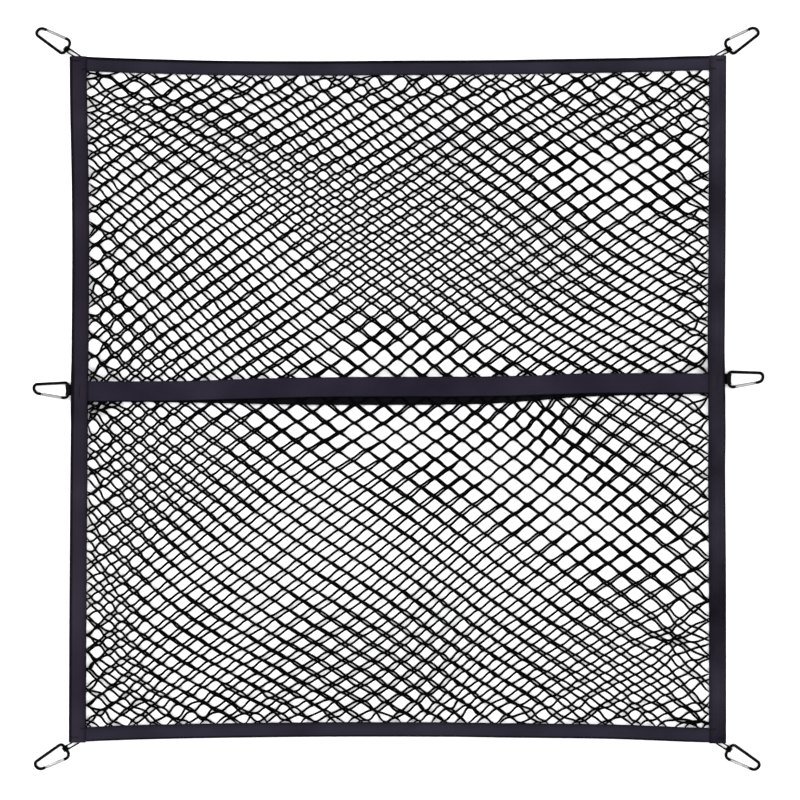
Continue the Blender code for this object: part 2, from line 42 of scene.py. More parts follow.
TOP_FOLD = ((-0.447, 0.4707), (-0.398, 0.4685), (-0.340, 0.4667), (-0.250, 0.4645), (-0.130, 0.4638),
            (0.000, 0.4646), (0.120, 0.4652), (0.220, 0.4668), (0.340, 0.4689), (0.400, 0.4708),
            (0.446, 0.4713))
BOTTOM_FOLD = ((-0.447, -0.4710), (-0.397, -0.4688), (-0.330, -0.4668), (-0.230, -0.4650),
               (-0.100, -0.4637), (0.060, -0.4638), (0.150, -0.4650), (0.280, -0.4665),
               (0.343, -0.4686), (0.397, -0.4708), (0.446, -0.4718))
# Middle line of each band: (x, y)
FRONT_BAND = ((-0.446, 0.0104), (-0.300, 0.0112), (-0.200, 0.0142), (-0.085, 0.0164),
              (0.110, 0.0172), (0.180, 0.0187), (0.260, 0.0215), (0.438, 0.0216))
BACK_BAND = ((-0.446, 0.0100), (-0.300, 0.0090), (-0.140, 0.0058), (0.000, 0.0054),
             (0.110, 0.0068), (0.180, 0.0109), (0.260, 0.0171), (0.438, 0.0212))
SIDE_WIDTH = 0.0236       # folded tape
END_WIDTH = 0.0200
SIDE_SECTION = 0.0485     # length of a folded tape's section, for its tints
END_SECTION = 0.0413
BAND_WIDTH = 0.0275
BAND_INSET = 0.007        # band's ends, in from the side folds
BAND_LIFT = 0.0005        # how far a side tape rises over the bands' ends
CLOTH = 0.001
CLOTH_DRAWN = CLOTH * 0.9     # tape as drawn, before its edges are rounded
WARP_PITCH = 0.00105      # weave
WEFT_PITCH = 0.00085
TAB_GAP = 0.0003          # room between a tab's legs
NET_INSET = 0.006         # where strands end inside the folds

# Netting
STRAND = 0.00154          # radius
STRAND_HELD = 0.00062     # radius where the tape presses it
CELL_WIDTH = 0.03636      # even lattice: a joint at each whole or half cell both ways
CELL_HEIGHT = 0.02415
LATTICE_LEFT = -0.5497    # x of column 0, and y of row 0
LATTICE_TOP = 0.5474
SIDE_LENGTH = 0.0215      # slack length of a cell's side
SIDE_STEPS = 6
STRAND_SIDES = 6
BOW_SHARE = 0.40          # how far a side bows, from its slack, with the least and the most
BOW_LEAST = 0.00045
BOW_MOST = 0.0009
UNEVEN = 0.00045          # spread of the joints, and what the borders add to it within a reach
UNEVEN_MORE = 0.0013
UNEVEN_REACH = 0.07
TWIST = 0.22              # spread of the strands' headings at the borders, within a reach
TWIST_REACH = 0.06

# Sewing
STITCH = 0.0030
STITCH_GAP = 0.0009
THREAD = 0.00022          # radius
TACK_THREAD = 0.00024
TACK_WIDTH = 0.0022
TACK_TURNS = 16
SIDE_SEAMS = {"left": (0.0214,), "right": (0.0214, 0.0078)}    # distances in from the fold
END_SEAM = 0.0180
BAND_SEAM = 0.0122        # off the band's middle line
# Bar tacks: tape, middle, length, turn in degrees
TACKS = (
    ("left", (-0.4400, 0.0105), 0.018, 90), ("right", (0.4330, 0.0215), 0.018, 90),
    ("left", (-0.4310, 0.4520), 0.014, 0), ("right", (0.4250, 0.4530), 0.014, 0),
    ("left", (-0.4330, -0.4520), 0.014, 0), ("right", (0.4260, -0.4530), 0.014, 0),
    ("left", (-0.4455, 0.4640), 0.014, 0), ("right", (0.4393, 0.4650), 0.014, 0),
    ("left", (-0.4475, -0.4640), 0.014, 0), ("right", (0.4393, -0.4650), 0.014, 0),
)

# Snap clips: (s, t, fillet) of the rod's middle line, as in the model
ROD = 0.0019
PAINT = 0.00015           # coat on the rods' bodies
GATE_ROD = 0.0021
CLIP_LENGTH = 0.0515
CLIP_CORNERS = (
    (CLIP_LENGTH - ROD, 0.0240, 0.0065),
    (CLIP_LENGTH - ROD, ROD, 0.0045),
    (ROD, ROD, 0.0050),
    (ROD, 0.0135, 0.0075),
)
GATE_START = 0.0135
GATE_END = 0.0392
GATE_CLEARANCE = 0.0003
TONGUE_THICK = 0.0015
TONGUE_RADIUS = 0.0015
PIN = 0.00065
PIN_HEIGHT = 0.0044
CORD = 0.0010
WRAP_RADIUS = ROD + 0.00035 + CORD
WRAP_FROM = 0.0078
WRAP_TO = 0.0136
WRAP_START = math.radians(62)
WRAP_END = math.radians(270 + 2 * 360)
CORD_LEVEL = 0.00245
TAB_RADIUS = ROD + 0.0010 + CLOTH / 2
TAB_WIDTH = 0.0148
TAB_LEG = 0.016
# Each clip: point (x, y), heading in degrees, side of the gate, t of the point on the wide end
CORNER_CLIPS = {
    "top_left": ((-0.4582, 0.4797), -36.6, 1, (WRAP_FROM + WRAP_TO) / 2),
    "top_right": ((0.4501, 0.4793), -141.8, -1, (WRAP_FROM + WRAP_TO) / 2),
    "bottom_left": ((-0.4597, -0.4795), 35.4, -1, (WRAP_FROM + WRAP_TO) / 2),
    "bottom_right": ((0.4504, -0.4802), 144.3, 1, (WRAP_FROM + WRAP_TO) / 2),
}
SIDE_CLIPS = {
    "left": ((-0.4556, 0.0123), 3.0, -1, 0.0121),
    "right": ((0.4496, 0.0274), 178.2, 1, 0.01175),
}
CORNER_ROD_HEIGHT = WRAP_RADIUS + CORD
SIDE_ROD_HEIGHT = TAB_RADIUS + CLOTH / 2
# Each cord's strands: from its sewn end to the first turn, and on from the last turn
CORD_STRANDS = {
    "top_left": (
        ((-0.4440, 0.4620, CORD_LEVEL), (-0.4462, 0.4685, CORD_LEVEL), (-0.4505, 0.4715, CORD_LEVEL),
         (-0.4545, 0.4740, 0.0042)),
        ((-0.4520, 0.4789, 0.0012), (-0.4411, 0.4713, 0.0022), (-0.4396, 0.4685, CORD_LEVEL),
         (-0.4392, 0.4620, CORD_LEVEL)),
    ),
    "top_right": (
        ((0.4365, 0.4625, CORD_LEVEL), (0.4384, 0.4692, CORD_LEVEL), (0.4421, 0.4722, CORD_LEVEL),
         (0.4464, 0.4742, 0.0042)),
        ((0.4440, 0.4790, 0.0012), (0.4326, 0.4723, 0.0022), (0.4316, 0.4694, CORD_LEVEL),
         (0.4315, 0.4625, CORD_LEVEL)),
    ),
    "bottom_left": (
        ((-0.4480, -0.4625, CORD_LEVEL), (-0.4494, -0.4695, CORD_LEVEL), (-0.4521, -0.4722, CORD_LEVEL),
         (-0.4560, -0.4742, 0.0042)),
        ((-0.4540, -0.4792, 0.0012), (-0.4424, -0.4723, 0.0022), (-0.4406, -0.4694, CORD_LEVEL),
         (-0.4403, -0.4625, CORD_LEVEL)),
    ),
    "bottom_right": (
        ((0.4395, -0.4635, CORD_LEVEL), (0.4410, -0.4703, CORD_LEVEL), (0.4439, -0.4732, CORD_LEVEL),
         (0.4474, -0.4751, 0.0042)),
        ((0.4445, -0.4798, 0.0012), (0.4343, -0.4733, 0.0022), (0.4325, -0.4704, CORD_LEVEL),
         (0.4320, -0.4635, CORD_LEVEL)),
    ),
}

# Where each piece of net lies off its even lattice, followed in the photograph and read off at guide
# joints: a line for each guide row, and in it the pull (across, up) in mm at each guide column
GUIDE_COLUMNS = (2, 6, 10, 14, 18, 22, 26)
UPPER_ROWS = (3, 9, 15, 21)
LOWER_ROWS = (23, 29, 35, 41)
NET_PULLS = {
    "net_back_upper": (
        ((14, -18), (28, -25), (32, -21), (24, -23), (16, -24), (10, -30), (10, -31)),
        ((17, -2), (8, -3), (12, -5), (7, -11), (9, -7), (14, -12), (20, -22)),
        ((31, -3), (8, 0), (0, -2), (2, -5), (3, -8), (4, -13), (18, -8)),
        ((26, -9), (-3, -9), (-16, -10), (0, -9), (-5, -5), (7, -1), (27, -2)),
    ),
    "net_back_lower": (
        ((44, 8), (17, 13), (24, 17), (34, 13), (30, 18), (6, 25), (23, 40)),
        ((35, 14), (25, 1), (23, -1), (34, 4), (33, 7), (34, 9), (36, 5)),
        ((27, -10), (17, -7), (27, -13), (35, -14), (28, -11), (32, -12), (50, -24)),
        ((35, -15), (27, 1), (28, 1), (40, -9), (28, -6), (35, -24), (30, -36)),
    ),
    "net_front_upper": (
        ((19, -4), (19, -6), (18, -5), (5, -5), (1, -4), (11, -3), (6, -4)),
        ((22, 4), (19, 8), (13, 10), (3, 4), (0, 2), (-2, 1), (-5, -9)),
        ((27, 5), (15, 2), (8, 2), (1, 6), (-1, 4), (-4, -2), (7, -8)),
        ((25, -7), (0, 0), (-3, -6), (1, -10), (-8, -7), (-5, 2), (11, 5)),
    ),
    "net_front_lower": (
        ((38, 17), (22, 19), (30, 18), (39, 11), (33, 15), (15, 26), (50, 30)),
        ((43, 19), (21, 11), (14, 7), (26, 7), (31, 8), (36, 9), (47, 3)),
        ((29, 13), (11, -4), (15, -4), (27, -4), (19, -3), (29, -4), (52, -15)),
        ((26, 11), (22, 8), (23, 10), (29, 3), (22, -1), (32, -5), (50, -20)),
    ),
}
# Where strands are drawn together: (x, y), reach, share of the way
GATHERS = (
    ((-0.4290, 0.4470), 0.022, 0.55),
    ((0.4185, -0.4420), 0.028, 0.80),
    ((0.3740, -0.3280), 0.030, 0.60),
    ((-0.4170, -0.0140), 0.022, 0.88),
)


# ---------- curves and tables

def along(rows, place):
    """Read (place, value) rows at a place, as a smooth curve through them."""
    last = len(rows) - 1
    slopes = []
    for index in range(last + 1):
        before = rows[max(index - 1, 0)]
        after = rows[min(index + 1, last)]
        slopes.append((after[1] - before[1]) / (after[0] - before[0]))
    place = min(max(place, rows[0][0]), rows[last][0])
    index = 0
    while index < last - 1 and place > rows[index + 1][0]:
        index += 1
    start, end = rows[index], rows[index + 1]
    span = end[0] - start[0]
    t = (place - start[0]) / span
    return ((2 * t ** 3 - 3 * t ** 2 + 1) * start[1] + (t ** 3 - 2 * t ** 2 + t) * span * slopes[index]
            + (3 * t ** 2 - 2 * t ** 3) * end[1] + (t ** 3 - t ** 2) * span * slopes[index + 1])


def mix(start, end, share):
    return start + (end - start) * share


def ease(share):
    share = min(max(share, 0.0), 1.0)
    return share * share * (3 - 2 * share)


def bands_middle(x):
    return (along(FRONT_BAND, x) + along(BACK_BAND, x)) / 2


def smooth_route(stops, each):
    """Points on a Catmull-Rom curve through the stops."""
    points = []
    for index in range(len(stops) - 1):
        before = stops[max(index - 1, 0)]
        start, end = stops[index], stops[index + 1]
        after = stops[min(index + 2, len(stops) - 1)]
        for step in range(each):
            t = step / each
            points.append(0.5 * ((2 * start) + (end - before) * t
                                 + (2 * before - 5 * start + 4 * end - after) * t ** 2
                                 + (3 * start - before - 3 * end + after) * t ** 3))
    return points + [stops[-1]]


# ---------- meshes with UVs in metres

class Shape:
    """Points, faces and UVs that several tubes and strips add to."""

    def __init__(self):
        self.points = []
        self.faces = []
        self.uvs = []

    def face(self, corners, uvs):
        self.faces.append(corners)
        self.uvs.extend(uvs)

    def finish(self, name, finish, slot):
        mesh = bpy.data.meshes.new(name)
        mesh.from_pydata(self.points, [], self.faces)
        layer = mesh.uv_layers.new(name="UVMap")
        flat = [value for uv in self.uvs for value in uv]
        layer.data.foreach_set("uv", flat)
        mesh.shade_smooth()
        mesh.materials.append(finish)
        made = bpy.data.objects.new(name, mesh)
        bpy.context.scene.collection.objects.link(made)
        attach(made, "net")
        return made


def tube(shape, points, radii, sides):
    """A round tube along points, its ends closed. U runs round it and V along it, in metres."""
    count = len(points)
    up = Vector((0, 0, 1))
    first = len(shape.points)
    lengths = [0.0]
    for one, other in zip(points, points[1:]):
        lengths.append(lengths[-1] + (other - one).length)
    for index, point in enumerate(points):
        heading = (points[min(index + 1, count - 1)] - points[max(index - 1, 0)]).normalized()
        if index == 0 and abs(heading.z) > 0.9:
            up = Vector((1, 0, 0))
        up = (up - heading * up.dot(heading)).normalized()
        out = heading.cross(up)
        for side in range(sides):
            turn = 2 * math.pi * side / sides
            shape.points.append(point + (out * math.cos(turn) + up * math.sin(turn)) * radii[index])
    for index in range(count - 1):
        low, high = first + index * sides, first + (index + 1) * sides
        for side in range(sides):
            onward = (side + 1) % sides
            u, v = side / sides, (side + 1) / sides
            shape.face((low + side, low + onward, high + onward, high + side),
                       ((u, lengths[index]), (v, lengths[index]), (v, lengths[index + 1]),
                        (u, lengths[index + 1])))
    shape.face(tuple(first + side for side in reversed(range(sides))), [(0.0, 0.0)] * sides)
    last = first + (count - 1) * sides
    shape.face(tuple(last + side for side in range(sides)), [(0.0, lengths[-1])] * sides)


def cloth_strip(name, rows, finish):
    """Tape through rows of points, thickened and rounded at its edges. U is across and V along."""
    shape = Shape()
    across = [0.0]
    for one, other in zip(rows[0], rows[0][1:]):
        across.append(across[-1] + (other - one).length)
    length = 0.0
    lengths = [0.0]
    middle = len(rows[0]) // 2
    for one, other in zip(rows, rows[1:]):
        length += (other[middle] - one[middle]).length
        lengths.append(length)
    width = len(rows[0])
    for row in rows:
        shape.points.extend(row)
    for j in range(len(rows) - 1):
        for i in range(width - 1):
            low, high = j * width + i, (j + 1) * width + i
            shape.face((low, low + 1, high + 1, high),
                       ((across[i], lengths[j]), (across[i + 1], lengths[j]),
                        (across[i + 1], lengths[j + 1]), (across[i], lengths[j + 1])))
    made = shape.finish(name, finish, "webbing")
    thicken = made.modifiers.new("Thickness", "SOLIDIFY")
    thicken.thickness = CLOTH_DRAWN
    thicken.offset = 0.0
    thicken.use_even_offset = True
    rounded = made.modifiers.new("Rounding", "SUBSURF")
    rounded.levels = 1
    rounded.render_levels = 1
    return made


# ---------- materials

def nodes_of(name, colour, roughness, metallic=0.0, specular=0.5):
    made = bpy.data.materials.new(name)
    made.use_nodes = True
    tree = made.node_tree
    shader = tree.nodes["Principled BSDF"]
    shader.inputs["Base Color"].default_value = (*colour, 1.0)
    shader.inputs["Roughness"].default_value = roughness
    shader.inputs["Metallic"].default_value = metallic
    shader.inputs["Specular IOR Level"].default_value = specular
    return made, tree, shader


def calculate(tree, operation, one, other):
    node = tree.nodes.new("ShaderNodeMath")
    node.operation = operation
    for socket, value in zip(node.inputs, (one, other)):
        if isinstance(value, (int, float)):
            socket.default_value = value
        elif value is not None:
            tree.links.new(value, socket)
    return node.outputs[0]


def times(tree, one, other):
    return calculate(tree, "MULTIPLY", one, other)


def plus(tree, one, other):
    return calculate(tree, "ADD", one, other)


def ripple(tree, place, pitch):
    return calculate(tree, "SINE", times(tree, place, 2 * math.pi / pitch), None)


def noise_node(tree, scale, detail):
    node = tree.nodes.new("ShaderNodeTexNoise")
    node.inputs["Scale"].default_value = scale
    node.inputs["Detail"].default_value = detail
    tree.links.new(tree.nodes.new("ShaderNodeTexCoord").outputs["Object"], node.inputs["Vector"])
    return node.outputs["Fac"]


def uv_axes(tree):
    split = tree.nodes.new("ShaderNodeSeparateXYZ")
    tree.links.new(tree.nodes.new("ShaderNodeTexCoord").outputs["UV"], split.inputs[0])
    return split.outputs["X"], split.outputs["Y"]


def between(tree, factor, low, high, limits=(0.3, 0.7)):
    """Colour between two tints by a factor."""
    ramp = tree.nodes.new("ShaderNodeValToRGB")
    for element, place, tint in zip(ramp.color_ramp.elements, limits, (low, high)):
        element.position = place
        element.color = (*tint, 1.0)
    tree.links.new(factor, ramp.inputs["Fac"])
    return ramp.outputs["Color"]


def ranged(tree, factor, low, high):
    node = tree.nodes.new("ShaderNodeMapRange")
    node.inputs["To Min"].default_value = low
    node.inputs["To Max"].default_value = high
    tree.links.new(factor, node.inputs["Value"])
    return node.outputs["Result"]


def bumped(tree, height, distance, shader):
    node = tree.nodes.new("ShaderNodeBump")
    node.inputs["Distance"].default_value = distance
    tree.links.new(height, node.inputs["Height"])
    tree.links.new(node.outputs["Normal"], shader.inputs["Normal"])


def webbing_finish(name, low, high, rib, wide, shade_marks, drift=0.0):
    """Woven tape: fine weave across and along, faint ribs, slow changes of tint, and darker lines.

    Shade lines are painted shade at the edges and fold, each (share of the width, share of the tint); drift
    is the change of tint along a metre.
    """
    made, tree, shader = nodes_of(name, high, 0.82, specular=0.02)
    across, run = uv_axes(tree)
    weave = times(tree, ripple(tree, across, WARP_PITCH), ripple(tree, run, WEFT_PITCH))
    ribs = ripple(tree, across, rib)
    fibre = noise_node(tree, 2600, 2)
    height = plus(tree, times(tree, weave, 0.5),
                  plus(tree, times(tree, ribs, 0.3), times(tree, fibre, 0.6)))
    bumped(tree, height, 0.00016, shader)
    cloud = plus(tree, noise_node(tree, 9, 3), times(tree, run, drift))
    grain = plus(tree, times(tree, cloud, 0.75), times(tree, plus(tree, weave, 1.0), 0.12))
    tint = between(tree, grain, low, high, (0.33, 0.72))
    # Painted shade: the tint darkened along lines across the width, at the edges and along the fold
    lines = tree.nodes.new("ShaderNodeValToRGB")
    while len(lines.color_ramp.elements) < len(shade_marks):
        lines.color_ramp.elements.new(1.0)
    for element, (place, share) in zip(lines.color_ramp.elements, shade_marks):
        element.position = place
        element.color = (share, share, share, 1.0)
    tree.links.new(times(tree, across, 1 / wide), lines.inputs["Fac"])
    product = tree.nodes.new("ShaderNodeVectorMath")
    product.operation = "MULTIPLY"
    tree.links.new(tint, product.inputs[0])
    tree.links.new(lines.outputs["Color"], product.inputs[1])
    tree.links.new(product.outputs["Vector"], shader.inputs["Base Color"])
    tree.links.new(ranged(tree, fibre, 0.66, 0.88), shader.inputs["Roughness"])
    return made


def braided_finish(name, low, high, pitch, depth, roughness):
    """Cord of two sets of yarns that wind against each other."""
    made, tree, shader = nodes_of(name, high, roughness, specular=0.01)
    turn, run = uv_axes(tree)
    twist = times(tree, turn, 2 * math.pi * 3)
    step = times(tree, run, 2 * math.pi / pitch)
    one = calculate(tree, "SINE", plus(tree, step, twist), None)
    other = calculate(tree, "SINE", calculate(tree, "SUBTRACT", step, twist), None)
    yarns = calculate(tree, "MAXIMUM", one, other)
    fuzz = noise_node(tree, 3000, 2)
    bumped(tree, plus(tree, yarns, times(tree, fuzz, 0.5)), depth, shader)
    shade = plus(tree, times(tree, yarns, 0.35), times(tree, fuzz, 0.6))
    tree.links.new(between(tree, shade, low, high, (0.1, 0.7)), shader.inputs["Base Color"])
    tree.links.new(ranged(tree, fuzz, roughness - 0.08, roughness + 0.12), shader.inputs["Roughness"])
    return made


def metal_finish(name, low, high, metallic, rough_low, rough_high, grain, specular=0.5):
    made, tree, shader = nodes_of(name, high, rough_high, metallic, specular)
    cloud = noise_node(tree, 160, 4)
    fine = noise_node(tree, grain, 3)
    patches = plus(tree, times(tree, cloud, 0.6), times(tree, fine, 0.4))
    tree.links.new(between(tree, patches, low, high), shader.inputs["Base Color"])
    tree.links.new(ranged(tree, fine, rough_low, rough_high), shader.inputs["Roughness"])
    bumped(tree, fine, 0.00002, shader)
    return made


# ---------- heights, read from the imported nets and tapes

class Surface:
    """The model's node, looked at from above or below."""

    def __init__(self, node):
        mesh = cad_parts[node].data
        self.tree = BVHTree.FromPolygons([point.co for point in mesh.vertices],
                                         [tuple(face.vertices) for face in mesh.polygons])

    def top(self, x, y):
        hit = self.tree.ray_cast(Vector((x, y, 0.05)), Vector((0, 0, -1)))[0]
        if hit is None:
            hit = self.tree.find_nearest(Vector((x, y, 0.003)))[0]
        return hit.z

    def bottom(self, x, y):
        hit = self.tree.ray_cast(Vector((x, y, -0.05)), Vector((0, 0, 1)))[0]
        if hit is None:
            hit = self.tree.find_nearest(Vector((x, y, 0.0)))[0]
        return hit.z


def inner_distance(x, y):
    """Distance of a point in from the borders' inner edges."""
    return min(x - along(LEFT_FOLD, y) - SIDE_WIDTH, along(RIGHT_FOLD, y) - SIDE_WIDTH - x,
               along(TOP_FOLD, x) - END_WIDTH - y, y - along(BOTTOM_FOLD, x) - END_WIDTH)


def back_height(x, y):
    """Height of the back net's strands: as in the model, but not sunk into the floor."""
    middle = nets["net_back"].top(x, y) - CLOTH / 2
    free = ease((inner_distance(x, y) + 0.001) / 0.012)
    return mix(middle, max(middle, STRAND + 0.00005), free)


def front_height(x, y):
    """Height of the front net's strands, which rest on the back net's."""
    middle = nets["net_back"].top(x, y) - CLOTH / 2
    back = back_height(x, y)
    free = ease((inner_distance(x, y) + 0.001) / 0.012)
    own = nets["net_front"].top(x, y) - CLOTH / 2 + back - middle
    return mix(own, max(own, back + 2 * STRAND), free)


# ---------- netting

def pulled(name, column, row):
    """How far a joint of a piece of net lies off the even lattice, across and up."""
    rows = UPPER_ROWS if name.endswith("upper") else LOWER_ROWS
    pull = []
    for axis in (0, 1):
        lines = [along([(place, values[axis]) for place, values in zip(GUIDE_COLUMNS, line)], column)
                 for line in NET_PULLS[name]]
        pull.append(0.001 * along(list(zip(rows, lines)), row))
    return Vector(pull)


def joints_of(name):
    """Where the joints of a piece of net lie: {(u, v): (x, y)}, strands running along u and along v."""
    chance = random.Random(name)
    first_row, last_row = (0, 25) if name.endswith("upper") else (20, 45)
    joints = {}
    for half_row in range(2 * first_row, 2 * last_row + 1):
        for half_column in range(half_row % 2, 60, 2):
            column, row = half_column / 2, half_row / 2
            even = Vector((LATTICE_LEFT + CELL_WIDTH * column, LATTICE_TOP - CELL_HEIGHT * row))
            place = even + pulled(name, column, row)
            loose = UNEVEN + UNEVEN_MORE * (1 - ease(inner_distance(*place) / UNEVEN_REACH))
            shift = Vector((chance.gauss(0, 1), chance.gauss(0, 1))) * loose
            for (x, y), reach, share in GATHERS:
                way = Vector((x, y)) - place
                shift += way * share * math.exp(-(way.length / reach) ** 2)
            joints[(half_column + half_row) // 2, (half_column - half_row) // 2] = place + shift
    return joints


def level_turn(chord):
    """Turn that lays a strand's heading flatter at its joints, by how slack the side is."""
    length = chord.length
    slack = math.sqrt(max(length * (SIDE_LENGTH - length), 0.0)) / math.pi
    bow = min(BOW_SHARE * slack + BOW_LEAST, BOW_MOST)
    turn = math.asin(min(bow / (0.125 * length), 0.8))
    lean = math.copysign(1.0, chord.x * chord.y) * -1
    return turn * lean


def strand_path(stops, chance):
    """A strand through its joints, each side of a cell bent like an S."""
    chords = [other - one for one, other in zip(stops, stops[1:])]
    headings = []
    for index in range(len(stops)):
        before = chords[max(index - 1, 0)]
        after = chords[min(index, len(chords) - 1)]
        middle = before.normalized() + after.normalized()
        turn = (level_turn(before) + level_turn(after)) / 2 * chance.uniform(0.7, 1.3)
        turn += chance.gauss(0, TWIST) * (1 - ease(inner_distance(*stops[index]) / TWIST_REACH))
        headings.append((Matrix.Rotation(turn, 2) @ middle).normalized())
    points = []
    for index, chord in enumerate(chords):
        pull = 1.3 * chord.length
        for step in range(SIDE_STEPS):
            t = step / SIDE_STEPS
            points.append(stops[index] * (2 * t ** 3 - 3 * t ** 2 + 1)
                          + headings[index] * pull * (t ** 3 - 2 * t ** 2 + t)
                          + stops[index + 1] * (3 * t ** 2 - 2 * t ** 3)
                          + headings[index + 1] * pull * (t ** 3 - t ** 2))
    return points + [stops[-1]]


def runs_inside(points, inside):
    """Stretches of a path that lie inside, cut exactly at the limit."""
    runs, run = [], []
    for one, other in zip(points, points[1:]):
        if inside(one):
            run.append(one)
        if inside(one) != inside(other):
            low, high = (one, other) if inside(one) else (other, one)
            for _ in range(6):
                middle = (low + high) / 2
                low, high = (middle, high) if inside(middle) else (low, middle)
            run.append(low)
            if inside(one):
                runs.append(run)
                run = []
    if inside(points[-1]):
        run.append(points[-1])
    return [found for found in runs + [run] if len(found) > 2]


def net_piece(name, height, upper, finish):
    """One layer of netting above or below the bands."""
    joints = joints_of(name)
    chance = random.Random(name + "_strands")

    def inside(point):
        x, y = point
        if (y > bands_middle(x)) != upper:
            return False
        return (along(LEFT_FOLD, y) + NET_INSET < x < along(RIGHT_FOLD, y) - NET_INSET
                and along(BOTTOM_FOLD, x) + NET_INSET < y < along(TOP_FOLD, x) - NET_INSET)

    shape = Shape()
    for step in ((1, 0), (0, 1)):
        starts = [key for key in joints if (key[0] - step[0], key[1] - step[1]) not in joints]
        for key in sorted(starts):
            stops = []
            while key in joints:
                stops.append(joints[key])
                key = (key[0] + step[0], key[1] + step[1])
            if len(stops) < 2:
                continue
            for run in runs_inside(strand_path(stops, chance), inside):
                points, radii = [], []
                for x, y in run:
                    points.append(Vector((x, y, height(x, y))))
                    held = 1 - ease((inner_distance(x, y) + 0.002) / 0.008)
                    radii.append(mix(STRAND, STRAND_HELD, held))
                tube(shape, points, radii, STRAND_SIDES)
    made = shape.finish(name, finish, "netting")
    return made


# ---------- webbing

def stations(start, end, step):
    count = max(1, round((end - start) / step))
    return [mix(start, end, index / count) for index in range(count + 1)]


def fold_rows(places, width, low, high, point):
    """Rows of a folded tape's section. point(place, distance in from the fold, height) gives a point."""
    rows = []
    for place in places:
        below, above = low(place), high(place)
        radius = (above - below) / 2
        start = CLOTH / 2 + radius
        row = []
        for share in (1.0, 0.93, 0.7, 0.45, 0.2):
            row.append(point(place, mix(start, width, share), below))
        for angle in range(-90, 91, 30):
            turn = math.radians(angle)
            row.append(point(place, start - radius * math.cos(turn),
                             (below + above) / 2 + radius * math.sin(turn)))
        for share in (0.2, 0.45, 0.7, 0.93, 1.0):
            row.append(point(place, mix(start, width, share), above))
        rows.append(row)
    return rows


def pucker(place, distance, width, seed):
    """Small waves of a sewn tape: none at the fold, most at its free edge."""
    wave = noise.noise(Vector((place / 0.018, distance / 0.012, seed)))
    slow = noise.noise(Vector((place / 0.070, 2.7, seed)))
    return (0.00022 * wave + 0.00016 * slow) * min(distance / width + 0.3, 1.0)


def border_tape(side, fold, inward, finish):
    """Tape folded over an edge of the net. A place is y on a side tape and x on an end tape."""
    upright = side in ("left", "right")
    width = SIDE_WIDTH if upright else END_WIDTH
    node = Surface("border_" + side)
    box_low, box_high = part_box("border_" + side)

    def spot(place, distance):
        off = along(fold, place) + inward * distance
        return (off, place) if upright else (place, off)

    def low(place):
        return node.bottom(*spot(place, width * 0.55)) + CLOTH / 2

    def high(place):
        return node.top(*spot(place, width * 0.55)) - CLOTH / 2

    def point(place, distance, height):
        edge = 0.0003 * noise.noise(Vector((place / 0.030, 5.1 if upright else 8.3, inward)))
        lift = 0.0
        if height > 0.002:
            lift = pucker(place, distance, width, inward if upright else 3 + inward)
            if upright:
                beside = abs(place - bands_middle(along(fold, place))) - BAND_WIDTH / 2
                lift += (BAND_LIFT * (1 - ease(beside / 0.003 + 0.5))
                         * ease((distance - BAND_INSET) / 0.003))
        return Vector((*spot(place, distance + edge * distance / width), height + max(lift, -0.0001)))

    if upright:
        places = stations(fold[0][0], fold[-1][0], 0.0030)
    else:
        places = stations(box_low.x + 0.0004, box_high.x - 0.0004, 0.0065)
    rows = fold_rows(places, width, low, high, point)
    if upright == (inward < 0):
        rows = [list(reversed(row)) for row in rows]
    made = cloth_strip("border_tape_" + side, rows, finish)
    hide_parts("border_" + side)
    return made


def band_top(height, x, y):
    """Height of a band's middle surface at a point, over the strands below it."""
    return height(x, y) + STRAND + CLOTH / 2 + 0.00008


def band_tape(name, line, height, finish):
    start = along(LEFT_FOLD, line[0][1]) + BAND_INSET
    end = along(RIGHT_FOLD, line[-1][1]) - BAND_INSET
    rows = []
    for x in stations(start, end, 0.0065):
        middle = along(line, x)
        edge = 0.00035 * noise.noise(Vector((x / 0.040, 1.7, len(name))))
        row = []
        for share in (0.0, 0.05, 0.25, 0.5, 0.75, 0.95, 1.0):
            y = middle + (BAND_WIDTH - 2 * edge) * (share - 0.5)
            held = 1 - ease((inner_distance(x, y) + 0.004) / 0.010)
            node_level = bands[name].top(x, y) - CLOTH / 2
            level = mix(band_top(height, x, middle), node_level, held)
            wave = 0.00018 * noise.noise(Vector((x / 0.022, share * 2.0, 4.4)))
            row.append(Vector((x, y, level + abs(wave) * (1 - held))))
        rows.append(row)
    made = cloth_strip(name + "_tape", rows, finish)
    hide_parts(name)
    return made


# ---------- sewing

def stitch_row(shape, points):
    """Lockstitches along points that lie on the cloth's surface, each one a short sunk thread."""
    lengths = [0.0]
    for one, other in zip(points, points[1:]):
        lengths.append(lengths[-1] + (other - one).length)

    def at(distance):
        index = 0
        while index < len(lengths) - 2 and lengths[index + 1] < distance:
            index += 1
        share = (distance - lengths[index]) / max(lengths[index + 1] - lengths[index], 1e-9)
        return points[index].lerp(points[index + 1], share)

    sunk = Vector((0, 0, THREAD))
    place = STITCH_GAP
    while place + STITCH < lengths[-1]:
        start, end = at(place), at(place + STITCH)
        middle = (start + end) / 2 + Vector((0, 0, THREAD * 1.1))
        tube(shape, [start - sunk, start.lerp(middle, 0.4), middle, end.lerp(middle, 0.4), end - sunk],
             [THREAD * 0.7, THREAD, THREAD, THREAD, THREAD * 0.7], 5)
        place += STITCH + STITCH_GAP


def tape_tops(made):
    """The finished surface of a piece of cloth, for sewing on."""
    depsgraph = bpy.context.evaluated_depsgraph_get()
    mesh = made.evaluated_get(depsgraph).to_mesh()
    tree = BVHTree.FromPolygons([point.co for point in mesh.vertices],
                                [tuple(face.vertices) for face in mesh.polygons])
    made.evaluated_get(depsgraph).to_mesh_clear()
    return tree


